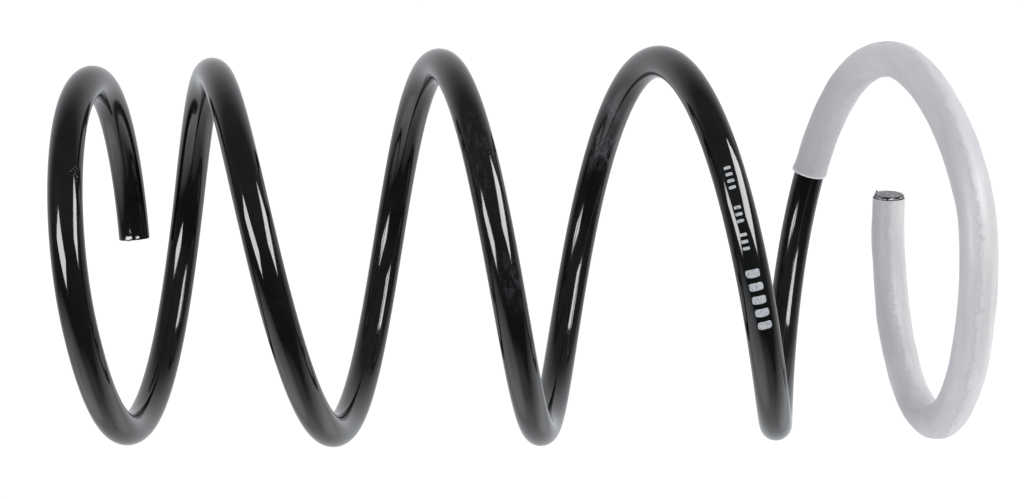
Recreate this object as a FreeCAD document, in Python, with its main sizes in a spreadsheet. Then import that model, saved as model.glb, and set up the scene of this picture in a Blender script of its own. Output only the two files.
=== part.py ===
"""Suspension coil spring with a protective sleeve on its lower end coil.

The spring is one round bar coiled right-handed about Z. It stands on its lower
end coil, and the origin is on the coil's axis, in the plane that the sleeve
rests on. Positions along the bar are counted in turns from the lower tip.

The bar flexes all along its length when the spring closes. It is therefore cut
by radial planes, which hold the Z axis, into two end coils and a row of short
arcs that slide past one another along Z.
"""

import FreeCAD
import Part
import math
import os

# name, value, meaning; lengths in millimetres, angles in degrees
DIMENSIONS = [
    ("wire_diameter", 12.9, "bar diameter over its coating"),
    ("coil_radius", 73.5, "axis to bar centre, lower and middle coils"),
    ("upper_tip_radius", 67.6, "axis to bar centre at the upper tip"),
    ("taper_turn", 2.73, "turn where the coil radius begins to shrink"),
    ("total_turns", 5.03, "turns from the lower tip to the upper tip"),
    ("tip_azimuth", 74, "direction of the lower tip, from +X towards +Y"),
    ("lower_coil_turns", 1, "turns kept whole as the lower end coil"),
    ("upper_coil_start", 4.25, "turn where the upper end coil begins"),
    ("arc_angle", 45, "angle that one arc of the bar spans"),
    ("cut_width", 0.3, "gap that a radial cut leaves in the bar"),
    ("cutter_radius", 100, "radius of the wedges that trim the arcs"),
    ("cutter_height", 50, "height of the wedges that trim the arcs"),
    ("sleeve_outer_diameter", 14.6, "sleeve, outside"),
    ("sleeve_bore_diameter", 13.1, "sleeve, inside"),
    ("bare_tip_length", 1.5, "bar that stands out of the sleeve at the tip"),
    ("sleeve_end_turn", 0.977, "turn where the sleeve ends"),
]

# turn, pitch at that turn in millimetres per turn; the pitch varies evenly between
PITCH_STATIONS = [
    (0, 0),
    (0.53, 0),
    (0.61, 86),
    (1.98, 99),
    (2.48, 79.5),
    (2.98, 79),
    (3.48, 105),
    (3.98, 65.5),
    (4.48, 62),
    (4.73, -42),
    (5.03, -26),
]

ARC_OVERHANG = 0.02     # turns of spare stock at each end that is trimmed away
POINT_SPACING = 0.02    # turns between the points of a bar's centre line


def add_sheet(doc):
    """The driving dimensions, one alias to a row, then the pitch stations."""
    sheet = doc.addObject("Spreadsheet::Sheet", "Dimensions")
    rows = list(DIMENSIONS)
    for index, (turn, pitch) in enumerate(PITCH_STATIONS):
        rows.append((f"station_turn_{index}", turn, "turns from the lower tip"))
        rows.append((f"station_pitch_{index}", pitch, "pitch there, per turn"))
    for row, (alias, value, meaning) in enumerate(rows, start=1):
        sheet.set(f"A{row}", alias)
        sheet.set(f"B{row}", str(value))
        sheet.set(f"C{row}", meaning)
        sheet.setAlias(f"B{row}", alias)
    doc.recompute()
    return sheet


def stations(sheet):
    """The pitch stations as the sheet holds them."""
    return [
        (sheet.get(f"station_turn_{index}"), sheet.get(f"station_pitch_{index}"))
        for index in range(len(PITCH_STATIONS))
    ]


def rise(sheet, turn):
    """Height of the bar's centre above its lower tip: the area under the pitch."""
    height = 0.0
    table = stations(sheet)
    for (turn_a, pitch_a), (turn_b, pitch_b) in zip(table, table[1:]):
        reach = min(turn, turn_b) - turn_a
        if reach > 0:
            slope = (pitch_b - pitch_a) / (turn_b - turn_a)
            height += reach * (pitch_a + slope * reach / 2)
    return height


def radius(sheet, turn):
    """Distance from the axis to the bar's centre."""
    past = max(0.0, turn - sheet.taper_turn)
    shrink = (sheet.coil_radius - sheet.upper_tip_radius) / (sheet.total_turns - sheet.taper_turn)
    return sheet.coil_radius - shrink * past


def azimuth(sheet, turn):
    """Direction of a point of the bar, in degrees from +X towards +Y."""
    return sheet.tip_azimuth + 360 * turn


def centre(sheet, turn):
    """Point of the bar's centre line."""
    angle = math.radians(azimuth(sheet, turn))
    out = radius(sheet, turn)
    height = sheet.sleeve_outer_diameter / 2 + rise(sheet, turn)
    return FreeCAD.Vector(out * math.cos(angle), out * math.sin(angle), height)


def swept_bar(sheet, first_turn, last_turn, diameter):
    """Round bar along the centre line, with its ends square to the bar."""
    steps = max(4, round((last_turn - first_turn) / POINT_SPACING))
    span = last_turn - first_turn
    points = [centre(sheet, first_turn + span * step / steps) for step in range(steps + 1)]
    line = Part.BSplineCurve()
    line.interpolate(points)
    path = Part.Wire(line.toShape())
    start_direction = line.tangent(line.FirstParameter)[0]
    section = Part.Wire(Part.makeCircle(diameter / 2, points[0], start_direction))
    return path.makePipeShell([section], True, False)


def add_stock(doc, sheet, name, first_turn, last_turn, diameter):
    """A swept bar as an object of the document."""
    stock = doc.addObject("Part::Feature", name)
    stock.Shape = swept_bar(sheet, first_turn, last_turn, diameter)
    return stock


def add_wedge(doc, sheet, name, start_azimuth, angle_expression, middle_height):
    """Wedge about the Z axis, from one radial plane to another."""
    wedge = doc.addObject("Part::Cylinder", name)
    wedge.setExpression("Radius", "Dimensions.cutter_radius")
    wedge.setExpression("Height", "Dimensions.cutter_height")
    wedge.setExpression("Angle", angle_expression)
    wedge.Placement = FreeCAD.Placement(
        FreeCAD.Vector(0, 0, middle_height - sheet.cutter_height / 2),
        FreeCAD.Rotation(FreeCAD.Vector(0, 0, 1), start_azimuth),
    )
    return wedge


def half_cut_angle(sheet):
    """Angle taken from each side of a radial cut."""
    return math.degrees(sheet.cut_width / 2 / sheet.coil_radius)


def add_arc(doc, sheet, label, first_turn):
    """One arc of the bar, trimmed to two radial planes."""
    last_turn = first_turn + sheet.arc_angle / 360
    stock = add_stock(
        doc,
        sheet,
        label + "_stock",
        first_turn - ARC_OVERHANG,
        last_turn + ARC_OVERHANG,
        sheet.wire_diameter,
    )
    wedge = add_wedge(
        doc,
        sheet,
        label + "_wedge",
        azimuth(sheet, first_turn) + half_cut_angle(sheet),
        "Dimensions.arc_angle - Dimensions.cut_width / Dimensions.coil_radius * 180 / pi",
        centre(sheet, (first_turn + last_turn) / 2).z,
    )
    arc = doc.addObject("Part::Common", label)
    arc.Base = stock
    arc.Tool = wedge
    arc.Label = label
    return arc


def add_lower_end_coil(doc, sheet):
    """First turn of the bar: square at its tip, radial where the arcs begin."""
    end_turn = sheet.lower_coil_turns
    label = "lower_end_coil"
    stock = add_stock(doc, sheet, label + "_stock", 0, end_turn + ARC_OVERHANG, sheet.wire_diameter)
    wedge = add_wedge(
        doc,
        sheet,
        label + "_wedge",
        azimuth(sheet, end_turn) - half_cut_angle(sheet),
        "Dimensions.arc_angle",
        centre(sheet, end_turn).z,
    )
    coil = doc.addObject("Part::Cut", label)
    coil.Base = stock
    coil.Tool = wedge
    coil.Label = label
    return coil


def add_upper_end_coil(doc, sheet):
    """Last part of the bar: radial where the arcs stop, square at its tip."""
    start_turn = sheet.upper_coil_start
    label = "upper_end_coil"
    stock = add_stock(
        doc, sheet, label + "_stock", start_turn - ARC_OVERHANG, sheet.total_turns, sheet.wire_diameter
    )
    wedge = add_wedge(
        doc,
        sheet,
        label + "_wedge",
        azimuth(sheet, start_turn) + half_cut_angle(sheet) - sheet.arc_angle,
        "Dimensions.arc_angle",
        centre(sheet, start_turn).z,
    )
    coil = doc.addObject("Part::Cut", label)
    coil.Base = stock
    coil.Tool = wedge
    coil.Label = label
    return coil


def add_sleeve(doc, sheet):
    """Plastic tube pulled over the lower end coil."""
    first_turn = sheet.bare_tip_length / (2 * math.pi * sheet.coil_radius)
    last_turn = sheet.sleeve_end_turn
    skin = add_stock(doc, sheet, "sleeve_skin", first_turn, last_turn, sheet.sleeve_outer_diameter)
    bore = add_stock(
        doc,
        sheet,
        "sleeve_bore",
        first_turn - ARC_OVERHANG,
        last_turn + ARC_OVERHANG,
        sheet.sleeve_bore_diameter,
    )
    sleeve = doc.addObject("Part::Cut", "protective_sleeve")
    sleeve.Base = skin
    sleeve.Tool = bore
    sleeve.Label = "protective_sleeve"
    return sleeve


def add_arcs(doc, sheet):
    """The arcs between the end coils, named by coil and by place in the coil."""
    arcs_per_turn = round(360 / sheet.arc_angle)
    first = round(sheet.lower_coil_turns * arcs_per_turn)
    last = round(sheet.upper_coil_start * arcs_per_turn)
    arcs = []
    for index in range(first, last):
        label = f"coil_{index // arcs_per_turn + 1}_arc_{index % arcs_per_turn + 1}"
        arcs.append(add_arc(doc, sheet, label, index / arcs_per_turn))
    return arcs


def check(doc, pieces):
    """Stop unless every object is computed and every piece is one valid solid."""
    for item in doc.Objects:
        if "Invalid" in item.State or "Error" in item.State:
            raise RuntimeError(f"{item.Label} failed: {item.State}")
    for piece in pieces:
        shape = piece.Shape
        if shape.isNull() or not shape.isValid() or len(shape.Solids) != 1:
            raise RuntimeError(f"{piece.Label} isn't one valid solid")


def main():
    doc = FreeCAD.newDocument("coil_spring")
    sheet = add_sheet(doc)
    pieces = [add_lower_end_coil(doc, sheet)]
    pieces += add_arcs(doc, sheet)
    pieces.append(add_upper_end_coil(doc, sheet))
    pieces.append(add_sleeve(doc, sheet))
    doc.recompute()
    check(doc, pieces)
    os.makedirs("parts", exist_ok=True)
    for piece in pieces:
        piece.Shape.exportStep(f"parts/{piece.Label}.step")
        print(f"{piece.Label}: {piece.Shape.Volume:.0f} mm3")


main()
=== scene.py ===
"""Looks of the suspension coil spring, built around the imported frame."""

import math

import bpy
from mathutils import Matrix, Vector, noise


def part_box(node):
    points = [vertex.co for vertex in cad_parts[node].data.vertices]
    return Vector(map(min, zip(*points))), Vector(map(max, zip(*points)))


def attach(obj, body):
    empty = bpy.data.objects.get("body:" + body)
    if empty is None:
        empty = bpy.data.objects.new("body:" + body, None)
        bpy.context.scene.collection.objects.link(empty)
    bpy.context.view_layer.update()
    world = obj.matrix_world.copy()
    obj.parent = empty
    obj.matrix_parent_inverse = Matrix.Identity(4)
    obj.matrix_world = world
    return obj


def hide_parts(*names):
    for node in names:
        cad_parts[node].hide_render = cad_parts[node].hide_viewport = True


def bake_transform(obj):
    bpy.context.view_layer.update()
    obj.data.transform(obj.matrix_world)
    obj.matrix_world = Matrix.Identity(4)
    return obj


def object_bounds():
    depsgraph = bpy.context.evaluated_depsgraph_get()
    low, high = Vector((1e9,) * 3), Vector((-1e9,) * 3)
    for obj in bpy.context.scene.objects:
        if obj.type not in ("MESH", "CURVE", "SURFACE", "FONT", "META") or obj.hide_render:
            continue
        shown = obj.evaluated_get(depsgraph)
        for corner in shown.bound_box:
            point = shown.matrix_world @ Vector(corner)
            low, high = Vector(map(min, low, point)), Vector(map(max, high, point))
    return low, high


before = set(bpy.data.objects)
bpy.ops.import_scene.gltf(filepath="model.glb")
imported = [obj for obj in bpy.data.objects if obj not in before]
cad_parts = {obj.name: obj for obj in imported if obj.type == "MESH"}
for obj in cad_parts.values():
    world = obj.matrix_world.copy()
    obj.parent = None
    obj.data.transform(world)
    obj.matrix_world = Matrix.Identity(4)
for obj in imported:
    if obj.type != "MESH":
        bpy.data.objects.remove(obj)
cad_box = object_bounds()

MM = 0.001

# --- the bar's centre line, as the frame has it ------------------------------
COIL_RADIUS = 73.5 * MM
UPPER_TIP_RADIUS = 67.6 * MM
TAPER_TURN = 2.73
TOTAL_TURNS = 5.03
TIP_AZIMUTH = 74.0              # degrees, lower tip, from +X towards +Y
BAR_RADIUS = 6.45 * MM
SLEEVE_INNER_RADIUS = 6.55 * MM
SLEEVE_OUTER_RADIUS = 7.3 * MM
BARE_TIP = 1.5 * MM
SLEEVE_END_TURN = 0.977
LOWER_COIL_END = 1.0            # turn where the lower end coil meets the first arc
UPPER_COIL_START = 4.25         # turn where the last arc meets the upper end coil
LOWER_TIP_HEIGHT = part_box("protective_sleeve")[0].z + SLEEVE_OUTER_RADIUS

# turn, pitch at that turn in metres per turn; the pitch varies evenly between
PITCH_STATIONS = [
    (0, 0),
    (0.53, 0),
    (0.61, 86 * MM),
    (1.98, 99 * MM),
    (2.48, 79.5 * MM),
    (2.98, 79 * MM),
    (3.48, 105 * MM),
    (3.98, 65.5 * MM),
    (4.48, 62 * MM),
    (4.73, -42 * MM),
    (5.03, -26 * MM),
]


def rise(turn):
    """Height of the bar's centre above its lower tip: the area under the pitch."""
    height = 0.0
    for (turn_a, pitch_a), (turn_b, pitch_b) in zip(PITCH_STATIONS, PITCH_STATIONS[1:]):
        reach = min(turn, turn_b) - turn_a
        if reach > 0:
            slope = (pitch_b - pitch_a) / (turn_b - turn_a)
            height += reach * (pitch_a + slope * reach / 2)
    return height


def centre(turn):
    """Point of the bar's centre line."""
    angle = math.radians(TIP_AZIMUTH + 360 * turn)
    shrink = (COIL_RADIUS - UPPER_TIP_RADIUS) / (TOTAL_TURNS - TAPER_TURN)
    out = COIL_RADIUS - shrink * max(0.0, turn - TAPER_TURN)
    height = LOWER_TIP_HEIGHT + rise(turn)
    return Vector((out * math.cos(angle), out * math.sin(angle), height))


def bar_axes(turn):
    """Directions at a point of the bar: along it, out from the coil, and across both."""
    step = 0.0005
    first, last = max(0.0, turn - step), min(TOTAL_TURNS, turn + step)
    along = (centre(last) - centre(first)).normalized()
    here = centre(turn)
    out = Vector((here.x, here.y, 0)).normalized()
    out = (out - along * out.dot(along)).normalized()
    return along, out, along.cross(out)


def bar_ring(turn, angles, radii):
    """Points around the bar at one turn; angle 0 faces out from the coil."""
    along, out, across = bar_axes(turn)
    middle = centre(turn)
    return [
        middle + (out * math.cos(angle) + across * math.sin(angle)) * radius
        for angle, radius in zip(angles, radii)
    ]


def turn_length(turn):
    """Length of bar from the lower tip, as if every turn had the lower coil's radius."""
    return turn * 2 * math.pi * COIL_RADIUS


def turns_for(length):
    """How many turns a length of bar takes, at the lower coil's radius."""
    return length / (2 * math.pi * COIL_RADIUS)


def straight_place(turn, angle):
    """The same point on the bar's surface if the bar were pulled straight."""
    return Vector((BAR_RADIUS * math.cos(angle), BAR_RADIUS * math.sin(angle), turn_length(turn)))


# --- meshes -------------------------------------------------------------------
AROUND = 48
ANGLES = [2 * math.pi * side / AROUND for side in range(AROUND)]


def make_object(name, vertices, faces, places, material):
    """Smooth mesh; places hold each vertex's position on the straightened bar."""
    mesh = bpy.data.meshes.new(name)
    mesh.from_pydata([tuple(v) for v in vertices], [], faces)
    layer = mesh.attributes.new("straight_place", "FLOAT_VECTOR", "POINT")
    for index, place in enumerate(places):
        layer.data[index].vector = place
    for polygon in mesh.polygons:
        polygon.use_smooth = True
    mesh.materials.append(material)
    piece = bpy.data.objects.new(name, mesh)
    bpy.context.scene.collection.objects.link(piece)
    return piece


def ring_faces(rings, around, first=0):
    """Quads of a tube whose rings follow one another in the vertex list."""
    faces = []
    for ring in range(rings - 1):
        for side in range(around):
            a = first + ring * around + side
            b = first + ring * around + (side + 1) % around
            faces.append((a, b, b + around, a + around))
    return faces


def disc_faces(rings, around):
    """Quads of a disc: vertex 0 is its middle, and the rings grow outwards."""
    return [(a, d, c, b) for a, b, c, d in ring_faces(rings, around, 1)]


def spread(first, last, count):
    """Evenly spaced values, with both ends."""
    return [first + (last - first) * index / (count - 1) for index in range(count)]


# --- materials ----------------------------------------------------------------
# colours are linear red, green and blue
COAT_BLACK = (0.0022, 0.0026, 0.0025)
COAT_CLOUD = (0.006, 0.0068, 0.0068)
SCUFF_GREY = (0.105, 0.10, 0.12)
DUST_GREY = (0.3, 0.3, 0.3)
MILK_DARK = (0.69, 0.685, 0.71)
MILK_LIGHT = (0.82, 0.818, 0.835)
MILK_VIOLET = (0.66, 0.65, 0.71)
# painted shade on the upper side of the sleeve, and a darker painted shade along its ragged edge
UPPER_SHADE_GREY = (0.60, 0.60, 0.625)
CREASE_SHADE_GREY = (0.50, 0.50, 0.55)
THIN_GREY = (0.53, 0.525, 0.555)
# painted highlight along the cut rim of the sleeve
CUT_RIM_HIGHLIGHT = (0.93, 0.93, 0.95)
TORN_DARK = (0.05, 0.053, 0.055)
TORN_LIGHT = (0.50, 0.51, 0.52)
CHIP_DARK = (0.45, 0.46, 0.47)
# the chips are real; their near-white parts are a painted glint of bare metal
CHIP_GLINT_WHITE = (0.95, 0.95, 0.96)
INK_THIN = (0.20, 0.21, 0.23)
INK_FULL = (0.56, 0.58, 0.62)


def new_material(name):
    """Material with its node tree and its main shader."""
    material = bpy.data.materials.new(name)
    material.use_nodes = True
    tree = material.node_tree
    shader = tree.nodes["Principled BSDF"]
    return material, tree, shader


def straight_coordinates(tree):
    """Coordinates on the straightened bar, from the mesh."""
    node = tree.nodes.new("ShaderNodeAttribute")
    node.attribute_name = "straight_place"
    return node.outputs["Vector"]


def stretched(tree, coordinates, around, along):
    """Coordinates scaled around the bar and along it."""
    node = tree.nodes.new("ShaderNodeVectorMath")
    node.operation = "MULTIPLY"
    tree.links.new(coordinates, node.inputs[0])
    node.inputs[1].default_value = (around, around, along)
    return node.outputs["Vector"]


def noise_value(tree, coordinates, scale, detail, roughness):
    node = tree.nodes.new("ShaderNodeTexNoise")
    node.inputs["Scale"].default_value = scale
    node.inputs["Detail"].default_value = detail
    node.inputs["Roughness"].default_value = roughness
    tree.links.new(coordinates, node.inputs["Vector"])
    return node.outputs["Fac"]


def map_range(tree, source, low, high, to_low, to_high):
    node = tree.nodes.new("ShaderNodeMapRange")
    node.inputs["From Min"].default_value = low
    node.inputs["From Max"].default_value = high
    node.inputs["To Min"].default_value = to_low
    node.inputs["To Max"].default_value = to_high
    tree.links.new(source, node.inputs["Value"])
    return node.outputs["Result"]


def combine(tree, operation, first, second):
    node = tree.nodes.new("ShaderNodeMath")
    node.operation = operation
    tree.links.new(first, node.inputs[0])
    tree.links.new(second, node.inputs[1])
    return node.outputs["Value"]


def mix_colour(tree, factor, colour_a, colour_b):
    """Colour between two; either end may be a colour or another node's output."""
    node = tree.nodes.new("ShaderNodeMix")
    node.data_type = "RGBA"
    tree.links.new(factor, node.inputs["Factor"])
    for socket, colour in (("A", colour_a), ("B", colour_b)):
        inlet = [item for item in node.inputs if item.name == socket and item.type == "RGBA"][0]
        if isinstance(colour, tuple):
            inlet.default_value = (*colour, 1)
        else:
            tree.links.new(colour, inlet)
    return [item for item in node.outputs if item.type == "RGBA"][0]


def near_spot(tree, coordinates, turn, angle, reach, strength):
    """Full strength at a spot of the bar's surface, fading to nothing at the given distance."""
    node = tree.nodes.new("ShaderNodeVectorMath")
    node.operation = "DISTANCE"
    tree.links.new(coordinates, node.inputs[0])
    node.inputs[1].default_value = straight_place(turn, math.radians(angle))
    return map_range(tree, node.outputs["Value"], 0.3 * reach, reach, strength, 0)


def bump(tree, shader, height, strength, distance):
    node = tree.nodes.new("ShaderNodeBump")
    node.inputs["Strength"].default_value = strength
    node.inputs["Distance"].default_value = distance
    tree.links.new(height, node.inputs["Height"])
    tree.links.new(node.outputs["Normal"], shader.inputs["Normal"])


def powder_coat():
    """Gloss black coating with faint orange peel, dust and a few scuffs."""
    material, tree, shader = new_material("black_powder_coat")
    place = straight_coordinates(tree)
    cloud = noise_value(tree, place, 45, 4, 0.6)
    cloudy = map_range(tree, cloud, 0.4, 0.7, 0, 1)
    colour = mix_colour(tree, cloudy, COAT_BLACK, COAT_CLOUD)
    scratch = noise_value(tree, stretched(tree, place, 560, 230), 1.0, 5, 0.75)
    marks = None
    for turn, angle, reach, strength in SCUFFS:
        spot = near_spot(tree, place, turn, angle, reach, strength)
        marks = spot if marks is None else combine(tree, "MAXIMUM", marks, spot)
    scuffed = combine(tree, "MULTIPLY", marks, map_range(tree, scratch, 0.48, 0.6, 0, 1))
    colour = mix_colour(tree, scuffed, colour, SCUFF_GREY)
    speck = noise_value(tree, place, 1500, 1, 0.5)
    dust_spot = near_spot(tree, place, *DUST)
    dust = combine(tree, "MULTIPLY", dust_spot, map_range(tree, speck, 0.66, 0.7, 0, 1))
    colour = mix_colour(tree, dust, colour, DUST_GREY)
    tree.links.new(colour, shader.inputs["Base Color"])
    coat_rough = map_range(tree, cloud, 0.4, 0.75, 0.07, 0.16)
    scuff_rough = map_range(tree, scuffed, 0, 1, 0, 0.3)
    tree.links.new(combine(tree, "MAXIMUM", coat_rough, scuff_rough), shader.inputs["Roughness"])
    shader.inputs["IOR"].default_value = 1.52
    peel = noise_value(tree, stretched(tree, place, 1, 0.5), 620, 2, 0.5)
    bump(tree, shader, peel, 0.03, 0.0003)
    return material


def milky_colour(tree, place, cloud):
    """Cloudy milk white, streaked along the sleeve, with faintly violet patches."""
    streak = noise_value(tree, stretched(tree, place, 190, 22), 1.0, 3, 0.55)
    colour = mix_colour(tree, map_range(tree, streak, 0.35, 0.65, 0, 1), MILK_DARK, MILK_LIGHT)
    return mix_colour(tree, map_range(tree, cloud, 0.48, 0.66, 0, 0.6), colour, MILK_VIOLET)


def with_painted_shade(tree, colour, place, across):
    """Painted shade: darken the upper side of the sleeve up to a ragged edge, and paint a darker band
    of shade along that edge.
    """
    noisy = noise_value(tree, stretched(tree, place, 260, 210), 1.0, 5, 0.72)
    ragged = map_range(tree, noisy, 0.2, 0.8, -3.2 * MM, 3.2 * MM)
    sideways = combine(tree, "ADD", across, ragged)
    # painted shade on the upper side of the sleeve
    upper_shade = map_range(tree, sideways, -2.0 * MM, -1.3 * MM, 0.3, 0)
    colour = mix_colour(tree, upper_shade, colour, UPPER_SHADE_GREY)
    # a darker band of painted shade along the edge of that shade
    crease_shade_start = map_range(tree, sideways, -1.9 * MM, -1.35 * MM, 0, 1)
    crease_shade_end = map_range(tree, sideways, -1.35 * MM, -0.3 * MM, 0.5, 0)
    crease_shade = combine(tree, "MULTIPLY", crease_shade_start, crease_shade_end)
    return mix_colour(tree, crease_shade, colour, CREASE_SHADE_GREY)


def with_cut_end(tree, colour, cloud, along):
    """Darken the stretch near the cut end, where the bar shows through, and paint a highlight along
    its rim.
    """
    end = turn_length(SLEEVE_END_TURN)
    near_end = map_range(tree, along, end - 90 * MM, end - 20 * MM, 0, 1)
    thin = combine(tree, "MULTIPLY", near_end, map_range(tree, cloud, 0.25, 0.75, 0.35, 0.75))
    colour = mix_colour(tree, thin, colour, THIN_GREY)
    # painted highlight along the cut rim
    rim = map_range(tree, along, end - 1.1 * MM, end - 0.5 * MM, 0, 1)
    return mix_colour(tree, rim, colour, CUT_RIM_HIGHLIGHT)


def sleeve_plastic():
    """Milky translucent tube: cloudy along its length, satin, faintly violet."""
    material, tree, shader = new_material("milky_sleeve")
    place = straight_coordinates(tree)
    split = tree.nodes.new("ShaderNodeSeparateXYZ")
    tree.links.new(place, split.inputs["Vector"])
    cloud = noise_value(tree, stretched(tree, place, 60, 30), 1.0, 2, 0.5)
    colour = milky_colour(tree, place, cloud)
    colour = with_painted_shade(tree, colour, place, split.outputs["Y"])
    colour = with_cut_end(tree, colour, cloud, split.outputs["Z"])
    tree.links.new(colour, shader.inputs["Base Color"])
    tree.links.new(map_range(tree, cloud, 0.3, 0.7, 0.36, 0.56), shader.inputs["Roughness"])
    shader.inputs["Specular IOR Level"].default_value = 0.35
    shader.inputs["Subsurface Weight"].default_value = 0.15
    shader.inputs["Subsurface Radius"].default_value = (0.002, 0.002, 0.0022)
    shader.inputs["Subsurface Scale"].default_value = 1.0
    ripple = noise_value(tree, stretched(tree, place, 240, 60), 1.0, 3, 0.5)
    bump(tree, shader, ripple, 0.42, 0.0007)
    return material


def sheared_steel():
    """Bare, torn steel of a sheared bar end."""
    material, tree, shader = new_material("sheared_steel")
    place = straight_coordinates(tree)
    grain = noise_value(tree, place, 620, 5, 0.75)
    torn = map_range(tree, grain, 0.38, 0.62, 0, 1)
    colour = mix_colour(tree, torn, TORN_DARK, TORN_LIGHT)
    tree.links.new(colour, shader.inputs["Base Color"])
    shader.inputs["Metallic"].default_value = 0.25
    tree.links.new(map_range(tree, grain, 0.3, 0.7, 0.3, 0.6), shader.inputs["Roughness"])
    bump(tree, shader, grain, 0.7, 0.0006)
    return material


def chipped_steel():
    """Bare metal in the chips of the coating, its light parts painted near white as a painted glint.
    """
    material, tree, shader = new_material("chipped_steel")
    place = straight_coordinates(tree)
    grain = noise_value(tree, place, 900, 3, 0.6)
    # painted glint: the light parts of the chips' grain
    grain_glint = map_range(tree, grain, 0.35, 0.6, 0, 1)
    colour = mix_colour(tree, grain_glint, CHIP_DARK, CHIP_GLINT_WHITE)
    tree.links.new(colour, shader.inputs["Base Color"])
    shader.inputs["Roughness"].default_value = 0.4
    bump(tree, shader, grain, 0.5, 0.0004)
    return material


def marking_ink():
    """White ink, thin in places."""
    material, tree, shader = new_material("marking_ink")
    place = straight_coordinates(tree)
    wear = noise_value(tree, place, 1500, 3, 0.6)
    covered = map_range(tree, wear, 0.32, 0.48, 0, 1)
    colour = mix_colour(tree, covered, INK_THIN, INK_FULL)
    tree.links.new(colour, shader.inputs["Base Color"])
    shader.inputs["Roughness"].default_value = 0.45
    return material


# turn, angle around the bar in degrees, reach and strength of each worn place
SCUFFS = [
    (2.63, -10, 13 * MM, 0.2),
    (2.60, -25, 9 * MM, 0.18),
    (2.52, 46, 14 * MM, 0.28),
    (1.94, 166, 13 * MM, 0.7),
    (1.89, -145, 9 * MM, 0.7),
    (1.20, 20, 8 * MM, 0.2),
]
DUST = (4.61, 50, 4.3 * MM, 1.0)

COAT = powder_coat()
SLEEVE = sleeve_plastic()
STEEL = sheared_steel()
CHIPPED = chipped_steel()
INK = marking_ink()


# --- the bar and what is on it --------------------------------------------------
RING_SPACING = 0.005            # turns
SEAM_SPACING = 0.0004           # turns; the first ring from a seam, so that shading runs across it
TIP_EDGE = 0.45 * MM            # rounding of the coating at both tips
LENGTHS_PER_TURN = 16           # two for each arc of the frame
FACE_INSET = 0.42 * MM          # from the bar's surface to the rim of a sheared face
FACE_RINGS = 14
SLEEVE_RINGS = 461
INK_HEIGHT = 0.04 * MM          # above the coating
CHIP_HEIGHT = 0.05 * MM
ISLAND_SINK = 0.04 * MM         # how far the rim of an ink mark or a chip goes into the bar


def tip_rings():
    """Distance from the tip, in turns, and loss of radius of the rings that round it over."""
    slopes = [math.radians(angle) for angle in (0, 22, 45, 68, 90)]
    return [(turns_for(TIP_EDGE * (1 - math.cos(a))), TIP_EDGE * (1 - math.sin(a))) for a in slopes]


def bar_length(name, first, last):
    """One length of the bar as a tube that meets its neighbours ring to ring."""
    at_lower_tip, at_upper_tip = first == 0, last == TOTAL_TURNS
    plain_first = first + (2 * RING_SPACING if at_lower_tip else SEAM_SPACING)
    plain_last = last - (2 * RING_SPACING if at_upper_tip else SEAM_SPACING)
    count = round((plain_last - plain_first) / RING_SPACING) + 1
    rings = [(turn, 0.0) for turn in spread(plain_first, plain_last, count)]
    before = tip_rings() if at_lower_tip else [(first, 0.0)]
    after = [(last, 0.0)]
    if at_upper_tip:
        after = [(last - turn, cut) for turn, cut in reversed(tip_rings())]
    rings = before + rings + after
    vertices, places = [], []
    for turn, cut in rings:
        vertices += bar_ring(turn, ANGLES, [BAR_RADIUS - cut] * AROUND)
        places += [straight_place(turn, angle) for angle in ANGLES]
    return make_object(name, vertices, ring_faces(len(rings), AROUND), places, COAT)


def close_with_spring(piece):
    """Bake the length's placement into its mesh.
    """
    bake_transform(piece)


def add_bar():
    """The bar: both end coils, and between them two lengths for each arc of the frame."""
    lower = bar_length("bar_lower_end_coil", 0, LOWER_COIL_END)
    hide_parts("lower_end_coil")
    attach(lower, "lower_end")
    upper = bar_length("bar_upper_end_coil", UPPER_COIL_START, TOTAL_TURNS)
    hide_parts("upper_end_coil")
    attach(upper, "upper_end")
    lowest = round(LOWER_COIL_END * LENGTHS_PER_TURN)
    past_highest = round(UPPER_COIL_START * LENGTHS_PER_TURN)
    for index in range(lowest, past_highest):
        coil, place_in_coil = divmod(index, LENGTHS_PER_TURN)
        arc, half = divmod(place_in_coil, 2)
        node = f"coil_{coil + 1}_arc_{arc + 1}"
        first, last = index / LENGTHS_PER_TURN, (index + 1) / LENGTHS_PER_TURN
        length = bar_length(f"bar_{node}_{'ab'[half]}", first, last)
        if half == 0:
            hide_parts(node)
        close_with_spring(length)


def sleeve_radius(turn, angle):
    """Outside of the soft tube: snug at the tip, uneven, flared where it is cut."""
    wave = noise.noise(Vector((turn * 20, math.cos(angle) * 0.8, math.sin(angle) * 0.8)))
    dent = noise.noise(Vector((turn * 55, math.cos(angle) * 1.5, math.sin(angle) * 1.5 + 7)))
    snug = 0.22 * MM * math.exp(-turn_length(turn) / (25 * MM))
    lip = 0.3 + 0.6 * max(0.0, -math.sin(angle)) ** 6
    flare = lip * MM * math.exp(-turn_length(SLEEVE_END_TURN - turn) / (2.2 * MM))
    return SLEEVE_OUTER_RADIUS + 0.36 * MM * wave + 0.18 * MM * dent - snug + flare


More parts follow.
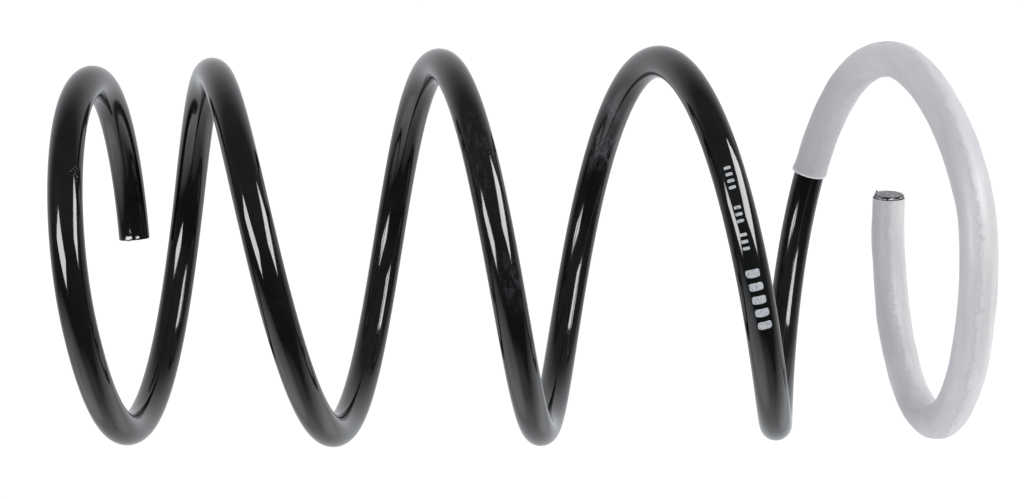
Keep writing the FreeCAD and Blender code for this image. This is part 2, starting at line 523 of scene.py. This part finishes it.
def protective_sleeve():
    """Thick-walled soft tube over the lower end coil, with rounded cut edges."""
    first, last = turns_for(BARE_TIP), SLEEVE_END_TURN
    edge, shallow, deep = turns_for(0.3 * MM), turns_for(0.08 * MM), turns_for(0.1 * MM)
    turns = spread(first + edge, last - edge, SLEEVE_RINGS)
    rings = [(first + deep, 0.45), (first, 0.7), (first + shallow, 0.92)]
    rings += [(turn, 1.0) for turn in turns]
    rings += [(last - shallow, 0.92), (last, 0.7), (last - deep, 0.3)]
    rings += [(turn, 0.0) for turn in reversed(turns)]
    vertices, places = [], []
    for turn, share in rings:
        walls = [sleeve_radius(turn, angle) - SLEEVE_INNER_RADIUS for angle in ANGLES]
        vertices += bar_ring(turn, ANGLES, [SLEEVE_INNER_RADIUS + wall * share for wall in walls])
        places += [straight_place(turn, angle) for angle in ANGLES]
    faces = ring_faces(len(rings), AROUND)
    last_ring = (len(rings) - 1) * AROUND
    for side in range(AROUND):
        beside = (side + 1) % AROUND
        faces.append((last_ring + side, last_ring + beside, beside, side))
    return make_object("milky_sleeve", vertices, faces, places, SLEEVE)


def sheared_face(name, turn, outward, burr_angle, burr_height):
    """Rough disc that closes a tip of the bar, with a burr drawn up at one side."""
    rings = FACE_RINGS
    along, out, across = bar_axes(turn)
    middle, depth = centre(turn), turn_length(turn)
    rim = BAR_RADIUS - FACE_INSET
    vertices, places = [middle], [Vector((0, 0, depth))]
    for ring in range(1, rings + 1):
        share = ring / rings
        for angle in ANGLES:
            x, y = share * math.cos(angle), share * math.sin(angle)
            lift = -0.05 * MM
            if ring < rings:
                lift = 0.16 * MM * noise.noise(Vector((4 * x, 4 * y, 2 * turn)))
            if ring in (rings - 1, rings - 2):
                burr = max(0.0, math.cos(angle - math.radians(burr_angle))) ** 60
                lift += burr_height * burr + 0.12 * MM
            vertices.append(middle + (out * x + across * y) * rim + along * outward * lift)
            places.append(Vector((rim * x, rim * y, depth)))
    faces = [(0, 1 + side, 1 + (side + 1) % AROUND) for side in range(AROUND)]
    faces += disc_faces(rings, AROUND)
    if outward < 0:
        faces = [tuple(reversed(face)) for face in faces]
    return make_object(name, vertices, faces, places, STEEL)


def patch(turn, angle, length, width, squareness, ragged, lift):
    """Thin island on the bar's surface: its vertices, faces and straightened places.

    Length runs along the bar and width around it. Squareness is 2 for an oval and more
    for a block; ragged is how uneven its outline is.
    """
    rim, rings = 28, 5
    vertices, places = [], []

    def put(along_bar, around_bar, height):
        here_turn = turn + turns_for(along_bar)
        here_angle = math.radians(angle) + around_bar / BAR_RADIUS
        vertices.append(bar_ring(here_turn, [here_angle], [BAR_RADIUS + height])[0])
        places.append(straight_place(here_turn, here_angle))

    put(0, 0, lift)
    for ring in range(1, rings + 1):
        for side in range(rim):
            a = 2 * math.pi * side / rim
            c, s = math.cos(a), math.sin(a)
            reach = (abs(c) ** squareness + abs(s) ** squareness) ** (-1 / squareness)
            reach *= 1 + ragged * noise.noise(Vector((c * 1.5, s * 1.5, turn * 90)))
            share = min(1.0, ring / (rings - 1)) * reach
            put(c * share * length / 2, s * share * width / 2, lift if ring < rings else -ISLAND_SINK)
    faces = [(0, 1 + side, 1 + (side + 1) % rim) for side in range(rim)] + disc_faces(rings, rim)
    return vertices, [tuple(reversed(face)) for face in faces], places


def patches(name, items, material):
    """Several islands as one piece."""
    vertices, faces, places = [], [], []
    for item in items:
        more, quads, spots = patch(*item)
        faces += [tuple(index + len(vertices) for index in face) for face in quads]
        vertices += more
        places += spots
    return make_object(name, vertices, faces, places, material)


# printed marks, counted from the one nearest the upper end; sizes are along and around the bar
DASH_TURN, DASH_STEP = 1.602, 0.0051
DASH_PLACES = (0, 1, 2, 3, 6, 7, 8, 10, 11, 12)     # three groups, with gaps between them
DASH_SIZE = (1.1 * MM, 2.7 * MM)
DASH_ANGLE = -13                                    # degrees around the bar
BLOCK_TURN, BLOCK_STEP = 1.522, 0.0102
BLOCK_COUNT = 5
BLOCK_SIZE = (2.8 * MM, 5.4 * MM)
BLOCK_ANGLE, BLOCK_ANGLE_STEP = -7, 3
OVAL, FULL_OVAL, BLOCKY = 2.0, 2.2, 5               # squareness of an island


def add_ink_marks():
    """Plain printed bars in place of any lettering: short dashes, then wider blocks."""
    items = []
    for step in DASH_PLACES:
        turn = DASH_TURN - DASH_STEP * step
        items.append((turn, DASH_ANGLE, *DASH_SIZE, BLOCKY, 0.12, INK_HEIGHT))
    for step in range(BLOCK_COUNT):
        turn = BLOCK_TURN - BLOCK_STEP * step
        angle = BLOCK_ANGLE + BLOCK_ANGLE_STEP * step
        items.append((turn, angle, *BLOCK_SIZE, BLOCKY, 0.08, INK_HEIGHT))
    for index in sorted({math.floor(item[0] * LENGTHS_PER_TURN) for item in items}):
        first, last = index / LENGTHS_PER_TURN, (index + 1) / LENGTHS_PER_TURN
        on_length = [item for item in items if first <= item[0] < last]
        ink = patches(f"ink_marks_{index}", on_length, INK)
        close_with_spring(ink)


def upper_chips():
    """Places by the upper tip where the shear has knocked the coating off."""
    edge = TOTAL_TURNS - turns_for(1.3 * MM)
    items = [
        (edge, 196, 1.7 * MM, 3.2 * MM, FULL_OVAL, 0.7, CHIP_HEIGHT),
        (edge, 162, 1.2 * MM, 1.8 * MM, FULL_OVAL, 0.7, CHIP_HEIGHT),
    ]
    return patches("upper_chips", items, CHIPPED)


def lower_chips():
    """The same at the lower tip, in the short length that stands out of the sleeve."""
    items = [
        (turns_for(0.60 * MM), 236, 0.4 * MM, 3.0 * MM, OVAL, 1.2, CHIP_HEIGHT),
        (turns_for(1.15 * MM), 222, 0.35 * MM, 4.2 * MM, OVAL, 0.9, CHIP_HEIGHT),
        (turns_for(0.95 * MM), 184, 0.8 * MM, 1.7 * MM, OVAL, 1.3, CHIP_HEIGHT),
        (turns_for(1.10 * MM), 163, 0.3 * MM, 2.4 * MM, OVAL, 0.9, CHIP_HEIGHT),
        (turns_for(0.65 * MM), 138, 0.45 * MM, 2.2 * MM, OVAL, 1.2, CHIP_HEIGHT),
    ]
    return patches("lower_chips", items, CHIPPED)


# --- lights, floor and camera -------------------------------------------------
VIEW_SIDE_ANGLE = math.radians(3.716)   # how far the camera stands towards the upper end
VIEW_ROLL = math.radians(1.002)
VIEW_DISTANCE = 0.915
VIEW_AIM_HEIGHT = 178.8 * MM            # where the line of sight crosses the axis
VIEW_PAN, VIEW_TILT = 0.00123, -0.0011
LENS = 80.1


def add_camera():
    """Camera at the photo's viewing angle."""
    data = bpy.data.cameras.new("camera")
    data.lens = LENS
    data.sensor_width = 36
    data.clip_start = 0.01
    data.clip_end = 50
    camera = bpy.data.objects.new("camera", data)
    bpy.context.scene.collection.objects.link(camera)
    side_cos, side_sin = math.cos(VIEW_SIDE_ANGLE), math.sin(VIEW_SIDE_ANGLE)
    roll_cos, roll_sin = math.cos(VIEW_ROLL), math.sin(VIEW_ROLL)
    forward = Vector((0, side_cos, -side_sin))
    right = Vector((-roll_sin, -side_sin * roll_cos, -side_cos * roll_cos))
    up = right.cross(forward)
    look = (forward + right * VIEW_PAN + up * VIEW_TILT).normalized()
    right = (right - look * right.dot(look)).normalized()
    up = right.cross(look)
    place = Vector((0, 0, VIEW_AIM_HEIGHT)) - forward * VIEW_DISTANCE
    axes = Matrix((right, up, -look)).transposed()
    camera.matrix_world = Matrix.Translation(place) @ axes.to_4x4()
    bpy.context.scene.camera = camera


def photo_direction(azimuth, elevation):
    """Direction seen from the spring: azimuth to the picture's right, elevation to its top."""
    a, e = math.radians(azimuth), math.radians(elevation)
    right, toward, up = math.sin(a) * math.cos(e), math.cos(a) * math.cos(e), math.sin(e)
    return Vector((up, -toward, -right))


def face_spring(thing, direction, distance, roll, aim):
    """Put a lamp or a card on one side of the spring, facing it."""
    toward = direction.normalized()
    level = Vector((1, 0, 0)).cross(toward).normalized()
    side = Matrix.Rotation(math.radians(roll), 3, toward) @ level
    axes = Matrix((side, toward.cross(side), toward)).transposed()
    thing.matrix_world = Matrix.Translation(aim + toward * distance) @ axes.to_4x4()


def add_card(name, azimuth, elevation, distance, roll, width, height, strength, aim):
    """Softbox that only reflections see."""
    material = bpy.data.materials.new(name)
    material.use_nodes = True
    tree = material.node_tree
    tree.nodes.clear()
    output = tree.nodes.new("ShaderNodeOutputMaterial")
    glow = tree.nodes.new("ShaderNodeEmission")
    glow.inputs["Strength"].default_value = strength
    tree.links.new(glow.outputs["Emission"], output.inputs["Surface"])
    w, h = width / 2, height / 2
    mesh = bpy.data.meshes.new(name)
    mesh.from_pydata([(-w, -h, 0), (w, -h, 0), (w, h, 0), (-w, h, 0)], [], [(0, 1, 2, 3)])
    mesh.materials.append(material)
    card = bpy.data.objects.new(name, mesh)
    bpy.context.scene.collection.objects.link(card)
    face_spring(card, photo_direction(azimuth, elevation), distance, roll, aim)
    card.visible_camera = False
    card.visible_diffuse = False
    card.visible_shadow = False
    card.visible_transmission = False


def add_area(name, azimuth, elevation, distance, size, power, aim):
    """Soft lamp for the matt surfaces; reflections don't see it."""
    data = bpy.data.lights.new(name, "AREA")
    data.shape = "DISK"
    data.size = size
    data.energy = power
    light = bpy.data.objects.new(name, data)
    bpy.context.scene.collection.objects.link(light)
    face_spring(light, photo_direction(azimuth, elevation), distance, 0, aim)
    light.visible_glossy = False


def add_floor():
    """Plain pale floor that reads as white."""
    reach = 8.0
    mesh = bpy.data.meshes.new("floor")
    corners = [(-reach, -reach, 0), (reach, -reach, 0), (reach, reach, 0), (-reach, reach, 0)]
    mesh.from_pydata(corners, [], [(0, 1, 2, 3)])
    floor = bpy.data.objects.new("floor", mesh)
    floor.location.z = cad_box[0].z
    material, tree, shader = new_material("pale_floor")
    shader.inputs["Base Color"].default_value = (0.32, 0.32, 0.32, 1)
    shader.inputs["Roughness"].default_value = 0.9
    shader.inputs["Specular IOR Level"].default_value = 0.0
    shader.inputs["Emission Color"].default_value = (1, 1, 1, 1)
    shader.inputs["Emission Strength"].default_value = 0.86
    mesh.materials.append(material)
    bpy.context.scene.collection.objects.link(floor)
    floor.visible_glossy = False


# soft glows: azimuth, elevation, cosines where each begins and where it is full, strength
LOW_GLOWS = [
    (-95, -52, 0.78, 0.97, 1.4),
    (115, -33, 0.84, 0.98, 0.8),
]


def add_world():
    """White to the camera. To the spring: dim in front, white behind, and glowing low down.

    In the photo +X is up and +Y is away from the camera.
    """
    world = bpy.data.worlds.new("studio")
    bpy.context.scene.world = world
    world.use_nodes = True
    tree = world.node_tree
    tree.nodes.clear()
    output = tree.nodes.new("ShaderNodeOutputWorld")
    seen = tree.nodes.new("ShaderNodeBackground")
    seen.inputs["Color"].default_value = (1, 1, 1, 1)
    seen.inputs["Strength"].default_value = 1.05
    lit = tree.nodes.new("ShaderNodeBackground")
    lit.inputs["Color"].default_value = (0.78, 0.80, 0.83, 1)
    path = tree.nodes.new("ShaderNodeLightPath")
    choose = tree.nodes.new("ShaderNodeMixShader")
    place = tree.nodes.new("ShaderNodeTexCoord")
    split = tree.nodes.new("ShaderNodeSeparateXYZ")
    tree.links.new(place.outputs["Generated"], split.inputs["Vector"])
    front = map_range(tree, split.outputs["X"], -0.4, 0.35, 0.10, 0.25)
    back = map_range(tree, split.outputs["Y"], 0.05, 0.6, 0.0, 0.75)
    bottom = map_range(tree, split.outputs["X"], -0.8, -0.97, 0.0, 0.6)
    glow = combine(tree, "ADD", combine(tree, "ADD", front, back), bottom)
    for azimuth, elevation, edge, full, strength in LOW_GLOWS:
        toward = tree.nodes.new("ShaderNodeVectorMath")
        toward.operation = "DOT_PRODUCT"
        tree.links.new(place.outputs["Generated"], toward.inputs[0])
        toward.inputs[1].default_value = photo_direction(azimuth, elevation)
        spot = map_range(tree, toward.outputs["Value"], edge, full, 0.0, strength)
        glow = combine(tree, "ADD", glow, spot)
    tree.links.new(glow, lit.inputs["Strength"])
    tree.links.new(path.outputs["Is Camera Ray"], choose.inputs["Fac"])
    tree.links.new(lit.outputs["Background"], choose.inputs[1])
    tree.links.new(seen.outputs["Background"], choose.inputs[2])
    tree.links.new(choose.outputs["Shader"], output.inputs["Surface"])


# --- putting it together ------------------------------------------------------
add_bar()
add_ink_marks()
sleeve = protective_sleeve()
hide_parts("protective_sleeve")
lower_face = sheared_face("lower_sheared_face", 0, -1, 285, 1.5 * MM)
upper_face = sheared_face("upper_sheared_face", TOTAL_TURNS, 1, 200, 0.3 * MM)
lower_chip_marks = lower_chips()
upper_chip_marks = upper_chips()
for piece in (sleeve, lower_face, lower_chip_marks):
    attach(piece, "lower_end")
for piece in (upper_face, upper_chip_marks):
    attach(piece, "upper_end")

middle = Vector((0, 0, VIEW_AIM_HEIGHT))
add_camera()
add_floor()
add_world()
add_card("left_card", azimuth=-44.3, elevation=1.1, distance=0.554, roll=-42,
         width=0.308, height=0.186, strength=13.5, aim=middle)
add_card("right_card", azimuth=53.5, elevation=23.6, distance=0.387, roll=51.6,
         width=0.289, height=0.168, strength=13.5, aim=middle)
add_area("key", azimuth=40, elevation=45, distance=1.6, size=1.2, power=15, aim=middle)
add_area("fill", azimuth=-50, elevation=20, distance=1.6, size=1.2, power=11, aim=middle)
bpy.context.scene.view_settings.view_transform = "Standard"
